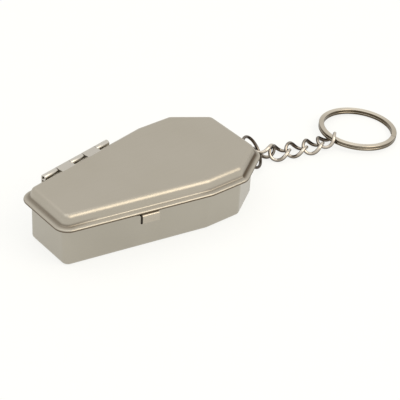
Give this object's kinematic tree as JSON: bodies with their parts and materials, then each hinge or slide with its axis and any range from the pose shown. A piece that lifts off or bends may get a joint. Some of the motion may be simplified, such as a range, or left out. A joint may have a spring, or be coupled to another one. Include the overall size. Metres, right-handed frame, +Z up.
{
  "type": "keychain storage box",
  "caption": "Coffin-shaped pressed metal pocket box with a side-hinged lid, a thumb tab, a lug for a jump ring, a short twisted chain and a split key ring.",
  "frame": {"origin": "middle of the lid brim's plan on the underside of the box, which stands on Z = 0", "axes": "+X from the narrow foot to the head and the chain, +Y to the hinge side, +Z up"},
  "size_m": [0.132, 0.039, 0.017],
  "materials": {
    "tray_shell": "satin plated sheet",
    "lid_shell": "satin plated sheet",
    "fittings": "satin plated strip and wire",
    "chain_wire": "polished nickel plate",
    "split_ring": "polished nickel plate"
  },
  "bodies": {
    "tray": {"tray": "tray_shell", "hinge_leaf": "fittings", "hinge_pin": "fittings", "ring_lug": "fittings"},
    "lid": {"lid": "lid_shell", "thumb_tab": "fittings"},
    "jump_ring": {"jump_ring": "chain_wire"},
    "link_1": {"chain_link_1": "chain_wire"},
    "link_2": {"chain_link_2": "chain_wire"},
    "link_3": {"chain_link_3": "chain_wire"},
    "link_4": {"chain_link_4": "chain_wire"},
    "link_5": {"chain_link_5": "chain_wire"},
    "split_ring": {"split_ring": "split_ring"}
  },
  "joints": [
    {"name": "lid_hinge", "type": "hinge", "parent": "tray", "child": "lid", "pos_m": [-0.01398, 0.01394, 0.01607], "axis": [-0.9818, -0.1897, 0], "range_deg": [0, 165]},
    {"name": "jump_ring_swing", "type": "hinge", "parent": "tray", "child": "jump_ring", "pos_m": [0.03794, 0, 0.0091], "axis": [0, -1, 0], "range_deg": [-45, 60]},
    {"name": "first_link_swing", "type": "hinge", "parent": "jump_ring", "child": "link_1", "pos_m": [0.04612, 0.00173, 0.00392], "axis": [0, 0, 1], "range_deg": [-8, 45]},
    {"name": "link_2_swing", "type": "hinge", "parent": "link_1", "child": "link_2", "pos_m": [0.05052, 0.00015, 0.00224], "axis": [0, 0, 1], "range_deg": [-1, 24]},
    {"name": "link_3_swing", "type": "hinge", "parent": "link_2", "child": "link_3", "pos_m": [0.05603, -0.00112, 0.00181], "axis": [0, 0, 1], "range_deg": [-10, 22]},
    {"name": "link_4_swing", "type": "hinge", "parent": "link_3", "child": "link_4", "pos_m": [0.0616, -0.00317, 0.00181], "axis": [0, 0, 1], "range_deg": [-22, 14]},
    {"name": "link_5_swing", "type": "hinge", "parent": "link_4", "child": "link_5", "pos_m": [0.06738, -0.00441, 0.00181], "axis": [0, 0, 1], "range_deg": [-38, 6]},
    {"name": "split_ring_turn", "type": "hinge", "parent": "link_5", "child": "split_ring", "pos_m": [0.08379, -0.00416, 0.0017], "axis": [0.067, -0.0029, 0.9977], "range_deg": [-170, 170]}
  ]
}
